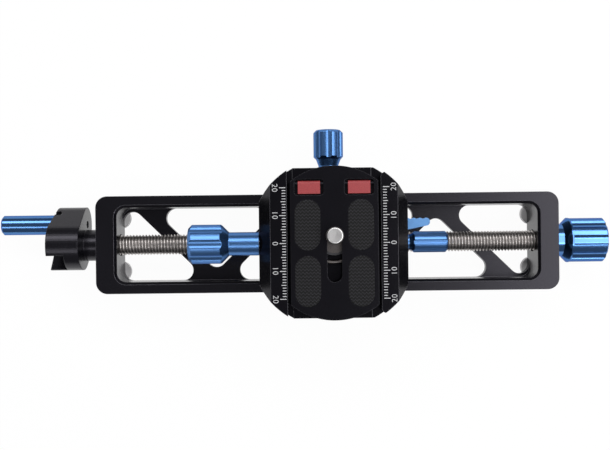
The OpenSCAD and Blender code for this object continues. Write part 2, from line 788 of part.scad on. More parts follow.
module slide_lock_knob() {
    flare_l = slide_knob_l * 0.18;
    color(blue_anodised)
        translate([carriage_x + slide_lock_x, carriage_w / 2 + free_gap, slide_lock_z]) rotate([-90, 0, 0])
            fluted_knob(slide_knob_d, slide_knob_l - flare_l, slide_knob_d * 0.66, slide_neck_l, flare_l,
                slide_knob_d * 0.09, 8, lock_screw_d, slide_neck_l + slide_knob_l / 2);
}

module pan_lock_shoe() {
    color(brass)
        translate([carriage_x + spindle_d / 2 + shoe_gap, 0, pan_lock_z]) rotate([0, 90, 0])
            cylinder(d = pan_shoe_d, h = pan_shoe_back - spindle_d / 2 - shoe_gap);
}

module pan_lock_screw() {
    color(steel)
        translate([carriage_x + pan_shoe_back, 0, pan_lock_z]) rotate([0, 90, 0])
            cylinder(d = lock_screw_d, h = pan_knob_start + pan_knob_l / 2 - pan_shoe_back);
}

module pan_lock_knob() {
    flare_l = pan_knob_l * 0.08;
    color(blue_anodised)
        translate([carriage_x + carriage_l / 2 + free_gap, 0, pan_lock_z]) rotate([0, 90, 0])
            fluted_knob(pan_knob_d, pan_knob_l, pan_knob_d * 0.68, pan_neck_l, flare_l,
                pan_knob_d * 0.09, 6, lock_screw_d, pan_neck_l + pan_knob_l / 2);
}

module pan_spindle() {
    color(steel)
        translate([carriage_x, 0, disc_z + disc_t])
            difference() {
                cylinder(d = spindle_d, h = clamp_z - disc_z - disc_t);
                pivot_holes();
            }
}

module retaining_disc() {
    color(steel)
        translate([carriage_x, 0, disc_z])
            difference() {
                cylinder(d = disc_d, h = disc_t);
                pivot_holes();
            }
}

// The holes for the screws that hold the spindle and its disc to the clamp base
module pivot_holes() {
    for (i = [0:2])
        rotate(i * 120 + 30) translate([pivot_screw_r, 0, -cut])
            cylinder(d = pivot_screw_d, h = 2 * carriage_t);
}

module pivot_screws() {
    color(steel)
        for (i = [0:2])
            translate([carriage_x, 0, disc_z]) rotate(i * 120 + 30) translate([pivot_screw_r, 0, 0])
                cylinder(d = pivot_screw_d, h = clamp_z - disc_z + pivot_screw_l);
}

// Section of a jaw in X and Z, on the +X side. foot_z is where the jaw's block starts.
module jaw_section(inner_x, foot_z) {
    polygon([[inner_x, foot_z], [clamp_l / 2, foot_z], [clamp_l / 2, jaw_top - flank_drop],
        [jaw_out, jaw_top], [jaw_lip_x, jaw_top], [jaw_lip_x, plate_z + plate_foot_h + jaw_grip],
        [jaw_foot_x, plate_z + plate_foot_h], [jaw_foot_x, floor_z], [inner_x, floor_z]]);
}

module clamp_base() {
    color(black_anodised)
        translate([carriage_x, 0, 0])
            difference() {
                intersection() {
                    union() {
                        translate([-clamp_l / 2, -clamp_w / 2, clamp_z])
                            cube([clamp_l / 2 + jaw_split, clamp_w, clamp_floor_t]);
                        mirror([1, 0, 0]) translate([0, clamp_w / 2, 0]) rotate([90, 0, 0])
                            linear_extrude(clamp_w) jaw_section(jaw_split, clamp_z);
                    }
                    translate([0, 0, clamp_z]) cylinder(d = clamp_d, h = 2 * clamp_floor_t, $fn = 128);
                    translate([-clamp_l / 2, -clamp_w / 2, clamp_z])
                        cube([clamp_l, clamp_w, clamp_floor_t + plate_t]);
                }
                flank_cut();
                for (x = [-jaw_foot_x, jaw_split - groove_w])
                    translate([x, -clamp_w, floor_z - groove_depth])
                        cube([groove_w, 2 * clamp_w, groove_depth + slide_gap]);
                translate([-clamp_l, 0, clamp_axis_z]) rotate([0, 90, 0])
                    cylinder(r = clamp_screw_d / 2 + run_fit, h = 2 * clamp_l);
                for (s = [-1, 1])
                    translate([guide_start, s * guide_y, guide_z]) rotate([0, 90, 0])
                        cylinder(d = guide_d, h = clamp_l);
                translate([0, 0, clamp_z]) intersection() {
                    pivot_holes();
                    cylinder(d = spindle_d, h = 2 * pivot_screw_l, center = true);
                }
            }
}

// What the fixed jaw's outer flank loses above the straight side
module flank_cut() {
    translate([-clamp_l / 2, clamp_w, jaw_top - flank_drop]) rotate([90, 0, 0])
        linear_extrude(2 * clamp_w)
            polygon([[-cut, 0], [0, 0], [flank_run, flank_drop], [flank_run, flank_drop + cut],
                [-cut, flank_drop + cut]]);
}

module jaw_guides() {
    color(steel)
        translate([carriage_x, 0, 0])
            for (s = [-1, 1])
                translate([guide_start, s * guide_y, guide_z]) rotate([0, 90, 0])
                    cylinder(d = guide_d, h = guide_in_base + guide_in_jaw);
}

module clamp_jaw() {
    color(black_anodised)
        translate([carriage_x, 0, 0])
            difference() {
                intersection() {
                    translate([0, clamp_w / 2, 0]) rotate([90, 0, 0])
                        linear_extrude(clamp_w) jaw_section(jaw_split + slide_gap, clamp_z + free_gap);
                    cylinder(d = clamp_d, h = 2 * jaw_top, $fn = 128);
                    translate([jaw_lip_x + clamp_l / 2, 0, 0])
                        rounded_slab(clamp_l, jaw_end_y * 2, 2 * jaw_top, jaw_corner_r);
                }
                translate([0, 0, clamp_axis_z]) rotate([0, 90, 0])
                    cylinder(r = clamp_screw_d / 2 + run_fit, h = clamp_l / 2 - clamp_screw_in / 4);
                for (s = [-1, 1])
                    translate([0, s * guide_y, guide_z]) rotate([0, 90, 0])
                        cylinder(r = guide_d / 2 + run_fit, h = jaw_split + guide_in_jaw + slide_gap);
            }
}

module clamp_screw() {
    color(steel)
        translate([carriage_x - clamp_l / 2 - clamp_neck_l, 0, clamp_axis_z]) rotate([0, 90, 0])
            cylinder(d = clamp_screw_d, h = clamp_l + clamp_neck_l - clamp_screw_in);
}

module clamp_knob() {
    flare_l = clamp_knob_l * 0.13;
    color(blue_anodised)
        translate([carriage_x - clamp_l / 2 - slide_gap, 0, clamp_axis_z]) rotate([0, -90, 0])
            fluted_knob(clamp_knob_d, clamp_knob_l, clamp_neck_d, clamp_neck_l, flare_l,
                clamp_knob_d * 0.09, 8, clamp_screw_d, clamp_neck_l);
}

// Section of the camera plate in X and Z
module plate_section() {
    x1 = plate_w / 2;
    x2 = plate_w / 2 - dove_run;
    polygon([[-x1, 0], [x1, 0], [x1, plate_foot_h], [x2, plate_foot_h + dove_run], [x2, plate_t],
        [-x2, plate_t], [-x2, plate_foot_h + dove_run], [-x1, plate_foot_h]]);
}

// The plate's outline before its sides are cut: two large circles and what lies between their centres
module plate_outline() {
    shift = plate_l / 2 - plate_end_r;
    for (s = [-1, 1]) translate([0, s * shift]) circle(plate_end_r, $fn = 128);
    square([2 * plate_end_r, 2 * shift], center = true);
}

module release_plate() {
    color(black_anodised)
        translate([plate_x, 0, plate_z])
            difference() {
                intersection() {
                    translate([0, plate_l / 2, 0]) rotate([90, 0, 0]) linear_extrude(plate_l) plate_section();
                    linear_extrude(plate_t) plate_outline();
                }
                translate([0, camera_y - slot_travel / 2, -cut]) {
                    linear_extrude(recess_h + cut) stadium(2 * recess_half, slot_travel + 2 * recess_half);
                    linear_extrude(2 * plate_t) stadium(slot_w, slot_travel + slot_w);
                }
                for (s = [-1, 1]) {
                    translate([s * tab_x, tab_y, plate_t - pocket_h])
                        rounded_slab(pocket_w, pocket_l, pocket_h + cut, pocket_corner_r);
                    translate([s * tab_x, tab_pin_y, plate_t - tab_t / 2]) rotate([0, 90, 0])
                        cylinder(d = tab_pin_d, h = tab_pin_l, center = true);
                    for (row = pad_row_shares)
                        translate([s * pad_x, row * plate_l, plate_t - pad_seat])
                            linear_extrude(pad_t + cut) stadium(pad_w, pad_l);
                }
            }
}

module rubber_pads() {
    color(rubber_grey)
        for (s = [-1, 1], row = pad_row_shares)
            translate([plate_x + s * pad_x, row * plate_l, plate_top - pad_seat])
                linear_extrude(pad_t) stadium(pad_w, pad_l);
}

module tab_pins() {
    color(steel)
        for (s = [-1, 1])
            translate([plate_x + s * tab_x, tab_pin_y, plate_top - tab_t / 2]) rotate([0, 90, 0])
                cylinder(d = tab_pin_d, h = tab_pin_l, center = true);
}

// A tab that flips up about the pin at its outer edge
module tab(side) {
    color(red_paint)
        translate([plate_x + side * tab_x, tab_pin_y, plate_top - tab_t / 2])
            difference() {
                union() {
                    translate([-tab_w / 2, tab_t / 2 - tab_l, -tab_t / 2])
                        cube([tab_w, tab_l - tab_t / 2, tab_t]);
                    rotate([0, 90, 0]) cylinder(d = tab_t, h = tab_w, center = true);
                }
                rotate([0, 90, 0])
                    cylinder(r = tab_pin_d / 2 + run_fit, h = 2 * tab_w, center = true);
            }
}

module left_tab() {
    tab(-1);
}

module right_tab() {
    tab(1);
}

module screw_washer() {
    color(steel)
        translate([plate_x, camera_y, plate_z + recess_h - washer_t - slide_gap])
            difference() {
                cylinder(d = camera_flange_d * 0.86, h = washer_t);
                translate([0, 0, -cut]) cylinder(r = neck_d / 2 + run_fit, h = washer_t + 2 * cut);
            }
}

module camera_screw() {
    lug_l = camera_flange_d * 0.35;
    color(steel)
        translate([plate_x, camera_y, 0])
            difference() {
                union() {
                    translate([0, 0, flange_z]) cylinder(d = camera_flange_d, h = flange_t);
                    translate([0, 0, flange_z])
                        cylinder(d = neck_d, h = plate_top + 2 * slide_gap - flange_z);
                    translate([0, 0, plate_top + slide_gap])
                        cylinder(d = camera_screw_d, h = camera_screw_h - slide_gap);
                    translate([-lug_l / 2, -ring_wire_d, floor_z + 2 * slide_gap])
                        cube([lug_l, 2 * ring_wire_d, flange_z - floor_z - 2 * slide_gap]);
                }
                translate([0, 0, ring_z]) rotate([0, 90, 0])
                    cylinder(r = ring_wire_d / 2 + run_fit, h = 2 * lug_l, center = true);
            }
}

// The folded ring that turns the camera screw by hand
module camera_ring() {
    color(steel)
        translate([plate_x, camera_y, ring_z]) {
            rotate_extrude(angle = -180) translate([ring_r, 0]) circle(d = ring_wire_d, $fn = 24);
            rotate([0, 90, 0]) cylinder(d = ring_wire_d, h = 2 * ring_r, center = true);
        }
}

rail_frame();
stop_screws();
left_bearing();
right_bearing();
lead_screw();
drive_knob();
crank_arm();
grip_pin();
detent_screw();
crank_grip();
carriage();
nut_housing();
housing_screws();
half_nut();
lever_pin();
release_lever();
slide_lock_shoe();
slide_lock_screw();
slide_lock_knob();
pan_lock_shoe();
pan_lock_screw();
pan_lock_knob();
pan_spindle();
retaining_disc();
pivot_screws();
clamp_base();
jaw_guides();
clamp_jaw();
clamp_screw();
clamp_knob();
release_plate();
rubber_pads();
tab_pins();
left_tab();
right_tab();
screw_washer();
camera_screw();
camera_ring();
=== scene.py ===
import math

import bpy
from mathutils import Matrix, Vector


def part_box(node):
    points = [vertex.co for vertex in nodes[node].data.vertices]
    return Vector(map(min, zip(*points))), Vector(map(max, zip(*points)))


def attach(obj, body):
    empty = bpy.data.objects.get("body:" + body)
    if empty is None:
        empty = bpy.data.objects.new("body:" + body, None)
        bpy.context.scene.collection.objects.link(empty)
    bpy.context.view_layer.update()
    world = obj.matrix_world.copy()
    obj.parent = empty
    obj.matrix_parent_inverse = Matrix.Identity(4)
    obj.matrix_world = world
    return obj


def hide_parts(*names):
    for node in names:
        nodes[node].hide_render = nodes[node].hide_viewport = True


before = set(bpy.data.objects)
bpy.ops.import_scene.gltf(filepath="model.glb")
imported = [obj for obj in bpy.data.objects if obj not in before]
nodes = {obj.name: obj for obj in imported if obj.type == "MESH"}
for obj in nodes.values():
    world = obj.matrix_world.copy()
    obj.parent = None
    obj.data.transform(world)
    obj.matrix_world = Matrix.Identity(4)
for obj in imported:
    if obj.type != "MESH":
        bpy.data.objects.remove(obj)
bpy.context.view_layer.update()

MM = 0.001

# The photograph's frame, the point in it that the lens looks straight down at, and the lens
PHOTO_W, PHOTO_H = 610, 450
NADIR_PX = (300, 240)
ROLL = math.radians(0.65)
CAMERA_PLACE = Vector((-10.6, 1.2, 342.5)) * MM
FOCAL_PX = 839.5
SENSOR_MM = 36
CLIP_START, CLIP_END = 0.01, 20

# A thread's outline in shares of its pitch: half of its foot, and one flank
THREAD_FOOT, THREAD_FLANK = 0.40, 0.30

# The lead screw's thread, in millimetres. It ends inside the frame's end walls.
SCREW_PITCH = 1.25
SCREW_ROOT = 0.61
SCREW_END_IN_WALL = 3
SCREW_SIDES = 48
SCREW_STEPS_A_PITCH = 10

# The camera screw, in millimetres. The dish is its end's face: shares of its radius, and depths.
CAMERA_PITCH = 1.27
CAMERA_ROOT = 0.4
CAMERA_RUNOUT = 0.9
CAMERA_SIDES = 64
CAMERA_STEPS_A_PITCH = 12
TIP_RADIUS = 3.175
TIP_FOOT_CUT = 0.5
TIP_CROWN = 0.7
CROWN_BENDS = (22, 45, 68)
TIP_DISH = ((0.97, 0.0), (0.5, 0.05), (0.06, 0.09))
NECK_RADIUS = 2.5
FLANGE_LOWER_EDGE = 0.3
FLANGE_UPPER_EDGE = 0.2
OVER_RING = 0.05
UNDER_WASHER = 0.02
OVER_PLATE = 0.1
THREAD_START = 0.01
LUG_HALF_X, LUG_HALF_Y = 2.52, 1.6
LUG_IN_FLANGE = 0.1
SHARP_ANGLE = math.radians(35)
FACING_UP = 0.98

# The printed scales, in millimetres. A tick's length goes by the step that its mark is a multiple of.
INK_THICKNESS = 0.02
TICK_STEP = 1.0
TICK_WIDTH = 0.28
TICK_LENGTHS = {10: 2.3, 5: 1.75, 1: 1.35}
NUMBER_STEP = 10
SCALE_END = 20
DIGIT_HEIGHT = 2.05
DIGIT_SHARE_OF_FONT = 0.72
DIGIT_THINNING = 0.02
DIGIT_SPACING = 1.1

# Noises: waves in a metre, detail and roughness, and the part of their range that is used
ANODISED_CLOUDS = (60, 3, 0.5)
ANODISED_GRAIN = (4200, 2, 0.6)
STEEL_CLOUDS = (260, 3, 0.5)
STEEL_MARKS = (2600, 3, 0.6)
RED_GRAIN = (3200, 3, 0.7)
INK_PATCHES = (1500, 2, 0.5)
NOISE_LOW, NOISE_HIGH = 0.3, 0.7

# Depths of reliefs and radii of edges, in millimetres
BLUE_EDGE = 0.25
STEEL_DEPTH, STEEL_EDGE = 0.0006, 0.12
PAD_DEPTH, PAD_EDGE = 0.2, 0.15
RED_DEPTH, RED_EDGE = 0.035, 0.22
BEVEL_SAMPLES = 6

# How far a roughness strays, and how the edges that get a painted highlight are found: by the cosine of
# the rounded normal
SMOOTHER, ROUGHER = 0.04, 0.05
EDGE_HIGHLIGHT_SHARE = 0.8
LIT_EDGE_COSINE, WHOLE_COSINE = 0.92, 0.992

# Steel: the grooves' added roughness, and the shares that darken its rings and clouds
GROOVE_ROUGHER = 0.12
LATHE_SHADE = 0.8
LATHE_ANISOTROPY = 0.6
STEEL_SHADE = 0.86

# The pads' pattern: its periods in millimetres, its swing, and the part of its wave that is used for the
# relief and for its painted shade and highlight
PAD_COLUMN, PAD_ROW = 1.33, 1.23
PAD_SWING = 1.5
PAD_GROOVE, PAD_CREST = -0.2, 0.9

# Colours
WHITE = (1, 1, 1)
BLACK_DARK, BLACK_LIGHT = (0.0026, 0.0025, 0.0034), (0.0040, 0.0038, 0.0052)
BLACK_SHEEN = (0.90, 0.87, 1.0)
# Paler colours painted on edges, as a painted highlight
EDGE_HIGHLIGHT_GREY = (0.14, 0.137, 0.15)
PLATE_EDGE_HIGHLIGHT = (0.018, 0.018, 0.020)
BLUE_DARK, BLUE_LIGHT = (0.070, 0.190, 0.45), (0.086, 0.225, 0.51)
BLUE_RIM = (0.18, 0.28, 0.55)
LEVER_DARK, LEVER_LIGHT = (0.095, 0.225, 0.45), (0.120, 0.27, 0.53)
# The lever's edges are painted paler, as a painted highlight
LEVER_EDGE_HIGHLIGHT = (0.27, 0.48, 0.82)
# The pads' painted shade in the grooves and painted highlight on the crests
PAD_GROOVE_SHADE, PAD_CREST_HIGHLIGHT = (0.0008, 0.0008, 0.0010), (0.023, 0.0225, 0.026)
RED_DARK, RED_LIGHT = (0.19, 0.018, 0.022), (0.40, 0.050, 0.054)
INK_DARK, INK_LIGHT = (0.42, 0.42, 0.43), (0.58, 0.58, 0.59)
SKY_GREY = (0.19, 0.19, 0.20)
FLOOR_GREY = (0.92, 0.92, 0.92)

# The floor's side in metres, and how much of it shows as plain white
FLOOR_SIZE = 4
FLOOR_WHITE_SHARE = 0.965

# Soft boxes: lean from straight above across and along, in degrees, distance from the middle and
# both sides in millimetres, and radiance
SOFTBOXES = {
    "back_strip": ((0, 38), 760, (1300, 270), 4.0),
    "front_strip": ((0, -24), 760, (1300, 150), 3.0),
    "right_box": ((31, 0), 700, (300, 620), 3.2),
    "right_edge": ((14, 0), 700, (110, 620), 0.9),
}

FINISHES = {
    "frame_black": ["rail_frame"],
    "clamp_black": ["carriage", "nut_housing", "clamp_base", "clamp_jaw"],
    "plate_black": ["release_plate", "tab_pins"],
    "crank_black": ["crank_arm"],
    "blue": ["drive_knob", "crank_grip"],
    "blue_satin": ["clamp_knob", "slide_lock_knob", "pan_lock_knob"],
    "blue_blasted": ["release_lever"],
    "steel": ["left_bearing", "right_bearing", "housing_screws", "lever_pin",
              "slide_lock_screw", "pan_lock_screw", "pan_spindle", "retaining_disc",
              "pivot_screws", "jaw_guides", "clamp_screw"],
    "dark_steel": ["grip_pin", "detent_screw"],
    "satin_steel": ["stop_screws"],
    # The washer and the ring get steel painted dark, as painted shade under the plate
    "washer_steel": ["screw_washer", "camera_ring"],
    "brass": ["half_nut", "slide_lock_shoe", "pan_lock_shoe"],
    "pad_rubber": ["rubber_pads"],
    "red_coat": ["left_tab", "right_tab"],
}

materials = {}


def low(node):
    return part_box(node)[0]


def high(node):
    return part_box(node)[1]


def middle(node):
    a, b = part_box(node)
    return (a + b) / 2


def shade(colour, share):
    return tuple(c * share for c in colour)


def new_object(name, data):
    obj = bpy.data.objects.new(name, data)
    bpy.context.scene.collection.objects.link(obj)
    return obj


# Nodes of the materials

def new_material(name):
    """Makes a material, keeps it under its name, and returns its node tree and its shader."""
    m = bpy.data.materials.new(name)
    m.use_nodes = True
    materials[name] = m
    shader = next(n for n in m.node_tree.nodes if n.type == "BSDF_PRINCIPLED")
    return m.node_tree, shader


def add(tree, kind, **values):
    """Adds a node and sets its properties, or its inputs where the name is an input's."""
    n = tree.nodes.new(kind)
    for key, value in values.items():
        if hasattr(n, key):
            setattr(n, key, value)
        else:
            n.inputs[key.replace("_", " ")].default_value = value
    return n


def maths(tree, operation, *operands):
    """A sum on numbers or on the outputs of other nodes."""
    n = add(tree, "ShaderNodeMath", operation=operation)
    for socket, operand in zip(n.inputs, operands):
        if isinstance(operand, (int, float)):
            socket.default_value = operand
        else:
            tree.links.new(operand, socket)
    return n.outputs["Value"]


def object_coordinates(tree, scale=(1, 1, 1)):
    where = add(tree, "ShaderNodeTexCoord")
    mapping = add(tree, "ShaderNodeMapping")
    mapping.inputs["Scale"].default_value = scale
    tree.links.new(where.outputs["Object"], mapping.inputs["Vector"])
    return mapping.outputs["Vector"]


def distance_from_axis(tree, point, along):
    """How far a spot of a piece lies from the line through a point, in metres."""
    flat = tuple(0 if letter == along else 1 for letter in "XYZ")
    away = add(tree, "ShaderNodeVectorMath", operation="DISTANCE")
    tree.links.new(object_coordinates(tree, flat), away.inputs[0])
    away.inputs[1].default_value = tuple(c * f for c, f in zip(point, flat))
    return away.outputs["Value"]


def noise(tree, vector, scale, detail, roughness):
    n = add(tree, "ShaderNodeTexNoise", Scale=scale, Detail=detail, Roughness=roughness)
    tree.links.new(vector, n.inputs["Vector"])
    return n.outputs["Fac"]


def between(tree, value, a, b, low_in=NOISE_LOW, high_in=NOISE_HIGH):
    """Turns a value's range into the range from a to b."""
    n = add(tree, "ShaderNodeMapRange")
    for key, v in (("From Min", low_in), ("From Max", high_in), ("To Min", a), ("To Max", b)):
        n.inputs[key].default_value = v
    tree.links.new(value, n.inputs["Value"])
    return n.outputs["Result"]


def colour_between(tree, value, a, b):
    n = add(tree, "ShaderNodeMix", data_type="RGBA")
    n.inputs["A"].default_value = (*a, 1)
    n.inputs["B"].default_value = (*b, 1)
    tree.links.new(value, n.inputs["Factor"])
    return n.outputs["Result"]


def rounded_normal(tree, radius):
    """Small rounded edges, as machining leaves them."""
    return add(tree, "ShaderNodeBevel", samples=BEVEL_SAMPLES, Radius=radius * MM).outputs["Normal"]


def wear(tree, radius):
    """Where the edges are, from the difference between the rounded and the true normal: the mask of the
    painted edge highlight.
    """
    true = add(tree, "ShaderNodeNewGeometry").outputs["Normal"]
    dot = add(tree, "ShaderNodeVectorMath", operation="DOT_PRODUCT")
    tree.links.new(rounded_normal(tree, radius), dot.inputs[0])
    tree.links.new(true, dot.inputs[1])
    return between(tree, dot.outputs["Value"], EDGE_HIGHLIGHT_SHARE, 0.0, LIT_EDGE_COSINE, WHOLE_COSINE)


def relief(tree, shader, height, depth, edge):
    """Gives the surface a fine relief on top of rounded edges."""
    n = add(tree, "ShaderNodeBump", Distance=depth * MM)
    tree.links.new(height, n.inputs["Height"])
    tree.links.new(rounded_normal(tree, edge), n.inputs["Normal"])
    tree.links.new(n.outputs["Normal"], shader.inputs["Normal"])


def uneven_roughness(tree, shader, value, roughness):
    spread = between(tree, value, roughness - SMOOTHER, roughness + ROUGHER)
    tree.links.new(spread, shader.inputs["Roughness"])


# Materials

def anodised(name, dark, light, roughness, grain, edge, edge_highlight_colour=None, metallic=0.0, specular=0.5,
             coat=0.0, tint=WHITE):
    """Bead-blasted and anodised aluminium: fine grain, slow colour changes, and edges painted paler as a
    painted highlight.

    grain is a depth and edge a radius, in millimetres. tint colours what the piece mirrors."""
    tree, shader = new_material(name)
    where = object_coordinates(tree)
    clouds = noise(tree, where, *ANODISED_CLOUDS)
    colour = colour_between(tree, between(tree, clouds, 0, 1), dark, light)
    # Edges painted paler, as a painted highlight
    if edge_highlight_colour:
        mix = add(tree, "ShaderNodeMix", data_type="RGBA")
        tree.links.new(colour, mix.inputs["A"])
        mix.inputs["B"].default_value = (*edge_highlight_colour, 1)
        tree.links.new(wear(tree, edge), mix.inputs["Factor"])
        colour = mix.outputs["Result"]
    tree.links.new(colour, shader.inputs["Base Color"])
    shader.inputs["Metallic"].default_value = metallic
    shader.inputs["Specular IOR Level"].default_value = specular
    shader.inputs["Specular Tint"].default_value = (*tint, 1)
    shader.inputs["Coat Weight"].default_value = coat
    shader.inputs["Coat Roughness"].default_value = roughness
    fine = noise(tree, where, *ANODISED_GRAIN)
    uneven_roughness(tree, shader, fine, roughness)
    relief(tree, shader, fine, grain, edge)


def black_anodised(name, roughness, grain, edge, edge_highlight_colour, specular):
    anodised(name, BLACK_DARK, BLACK_LIGHT, roughness, grain, edge, edge_highlight_colour,
             specular=specular, tint=BLACK_SHEEN)


def blue_anodised(name, roughness, grain, coat):
    anodised(name, BLUE_DARK, BLUE_LIGHT, roughness, grain, BLUE_EDGE,
             metallic=1.0, coat=coat, tint=BLUE_RIM)


def threaded_steel(name, colour, roughness, node, along, root, crest, groove):
    """Rolled thread: crests in the full colour and dull grooves darkened as painted shade, by the
    distance from the screw's axis.

    root and crest are radii in millimetres, and groove is the share of the colour that the painted shade
    leaves at the root."""
    tree, shader = new_material(name)
    shader.inputs["Metallic"].default_value = 1.0
    away = distance_from_axis(tree, middle(node), along)
    depth = between(tree, away, 1, 0, root * MM, crest * MM)
    # Painted shade in the grooves: the colour darkens towards the root
    base = colour_between(tree, depth, colour, shade(colour, groove))
    tree.links.new(base, shader.inputs["Base Color"])
    dull = between(tree, depth, roughness, roughness + GROOVE_ROUGHER, 0, 1)
    tree.links.new(dull, shader.inputs["Roughness"])


def lathe_faced_steel(name, colour, roughness, node, ring):
    """A screw's end faced on a lathe: fine rings round its axis, ring millimetres apart."""
    tree, shader = new_material(name)
    shader.inputs["Metallic"].default_value = 1.0
    away = distance_from_axis(tree, middle(node), "Z")
    wave = maths(tree, "SINE", maths(tree, "MULTIPLY", away, 2 * math.pi / (ring * MM)))
    pale = between(tree, wave, 0, 1, -1, 1)
    base = colour_between(tree, pale, shade(colour, LATHE_SHADE), colour)
    tree.links.new(base, shader.inputs["Base Color"])
    shader.inputs["Roughness"].default_value = roughness
    shader.inputs["Anisotropic"].default_value = LATHE_ANISOTROPY
    tangent = add(tree, "ShaderNodeTangent", direction_type="RADIAL", axis="Z")
    tree.links.new(tangent.outputs["Tangent"], shader.inputs["Tangent"])


def turned_steel(name, colour, roughness, depth=STEEL_DEPTH, metallic=1.0):
    """Machined metal with fine marks."""
    tree, shader = new_material(name)
    shader.inputs["Metallic"].default_value = metallic
    where = object_coordinates(tree)
    clouds = noise(tree, where, *STEEL_CLOUDS)
    base = colour_between(tree, between(tree, clouds, 0, 1), shade(colour, STEEL_SHADE), colour)
    tree.links.new(base, shader.inputs["Base Color"])
    marks = noise(tree, where, *STEEL_MARKS)
    uneven_roughness(tree, shader, marks, roughness)
    relief(tree, shader, marks, depth, STEEL_EDGE)


def pad_rubber():
    """Grey rubber embossed with rows that wave from column to column, with painted shade in the grooves
    and a painted highlight on the crests.
    """
    tree, shader = new_material("pad_rubber")
    split = add(tree, "ShaderNodeSeparateXYZ")
    tree.links.new(object_coordinates(tree, (1 / MM, 1 / MM, 1 / MM)), split.inputs["Vector"])
    columns = maths(tree, "MULTIPLY", split.outputs["X"], 2 * math.pi / PAD_COLUMN)
    swing = maths(tree, "MULTIPLY", maths(tree, "SINE", columns), PAD_SWING)
    turns = maths(tree, "MULTIPLY", split.outputs["Y"], 2 * math.pi / PAD_ROW)
    rows = maths(tree, "SINE", maths(tree, "ADD", turns, swing))
    ramp = between(tree, rows, 0, 1, PAD_GROOVE, PAD_CREST)
    # Grooves painted dark and crests painted light, as painted shade and highlight
    tree.links.new(colour_between(tree, ramp, PAD_GROOVE_SHADE, PAD_CREST_HIGHLIGHT), shader.inputs["Base Color"])
    shader.inputs["Specular IOR Level"].default_value = 0.25
    shader.inputs["Roughness"].default_value = 0.6
    relief(tree, shader, ramp, PAD_DEPTH, PAD_EDGE)


def red_coat():
    """Red coating with a sandy grain."""
    tree, shader = new_material("red_coat")
    grain = noise(tree, object_coordinates(tree), *RED_GRAIN)
    base = colour_between(tree, between(tree, grain, 0, 1), RED_DARK, RED_LIGHT)
    tree.links.new(base, shader.inputs["Base Color"])
    shader.inputs["Roughness"].default_value = 0.42
    relief(tree, shader, grain, RED_DEPTH, RED_EDGE)


def scale_ink():
    """Pale print, a little patchy."""
    tree, shader = new_material("scale_ink")
    patches = noise(tree, object_coordinates(tree), *INK_PATCHES)
    base = colour_between(tree, between(tree, patches, 0, 1), INK_DARK, INK_LIGHT)
    tree.links.new(base, shader.inputs["Base Color"])
    shader.inputs["Roughness"].default_value = 0.6


def make_black_finishes():
    black_anodised("frame_black", roughness=0.22, grain=0.004, edge=0.3,
                   edge_highlight_colour=EDGE_HIGHLIGHT_GREY, specular=0.38)
    black_anodised("clamp_black", roughness=0.15, grain=0.003, edge=0.3,
                   edge_highlight_colour=EDGE_HIGHLIGHT_GREY, specular=0.22)
    black_anodised("plate_black", roughness=0.16, grain=0.003, edge=0.3,
                   edge_highlight_colour=PLATE_EDGE_HIGHLIGHT, specular=0.3)
    black_anodised("crank_black", roughness=0.24, grain=0.004, edge=0.6,
                   edge_highlight_colour=None, specular=0.39)


def make_blue_finishes():
    blue_anodised("blue", roughness=0.16, grain=0.002, coat=0.4)
    blue_anodised("blue_satin", roughness=0.30, grain=0.012, coat=0.5)
    anodised("blue_blasted", LEVER_DARK, LEVER_LIGHT, roughness=0.45, grain=0.03, edge=0.3,
             edge_highlight_colour=LEVER_EDGE_HIGHLIGHT, metallic=0.8)


def make_metals():
    # groove sets how dark the painted shade in each thread's grooves is
    threaded_steel("screw_steel", (0.66, 0.62, 0.60), roughness=0.36, node="lead_screw", along="X",
                   root=3.45, crest=3.95, groove=0.34)
    threaded_steel("camera_thread", (0.43, 0.365, 0.345), roughness=0.34, node="camera_screw", along="Z",
                   root=2.7, crest=3.15, groove=0.6)
    turned_steel("steel", (0.62, 0.60, 0.585), roughness=0.26)
    # A dark steel; on the camera screw under the plate's top it serves as painted shade
    turned_steel("dark_steel", (0.10, 0.10, 0.105), roughness=0.30)
    turned_steel("satin_steel", (0.86, 0.85, 0.85), roughness=0.5, metallic=0.2)
    # Painted dark, as painted shade on the washer and the ring under the plate
    turned_steel("washer_steel", (0.16, 0.145, 0.14), roughness=0.30)
    # Darker than the end's steel, as painted shade on the tip's rounded edge
    turned_steel("bevel_steel", (0.27, 0.26, 0.255), roughness=0.24, depth=0.0)
    lathe_faced_steel("bright_steel", (0.63, 0.62, 0.615), roughness=0.33, node="camera_screw", ring=0.4)
    turned_steel("brass", (0.72, 0.54, 0.25), roughness=0.30)


def dress_cad():
    """Gives every CAD piece its finish. The two screws come later, as pieces of their own."""
    for finish, names in FINISHES.items():
        for name in names:
            for slot in nodes[name].material_slots:
                slot.material = materials[finish]


# Meshes

def mesh_piece(name, verts, faces, finish, body, smooth):
    mesh = bpy.data.meshes.new(name)
    mesh.from_pydata([tuple(v) for v in verts], [], faces)
    mesh.update()
    for p in mesh.polygons:
        p.use_smooth = smooth
    mesh.materials.append(materials[finish])
    obj = new_object(name, mesh)
    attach(obj, body)
    return obj


def add_box(verts, faces, start, end):
    """Adds a box between two of its corners."""
    first = len(verts)
    (x0, y0, z0), (x1, y1, z1) = start, end
    for z in (z0, z1):
        verts += [(x0, y0, z), (x1, y0, z), (x1, y1, z), (x0, y1, z)]
    faces += [tuple(first + i for i in (3, 2, 1, 0)), tuple(first + i for i in (4, 5, 6, 7))]
    for i in range(4):
        k = (i + 1) % 4
        faces.append((first + i, first + k, first + 4 + k, first + 4 + i))


def steps(start, end, step):
    count = max(1, round((end - start) / step))
    return [start + (end - start) * i / count for i in range(count + 1)]


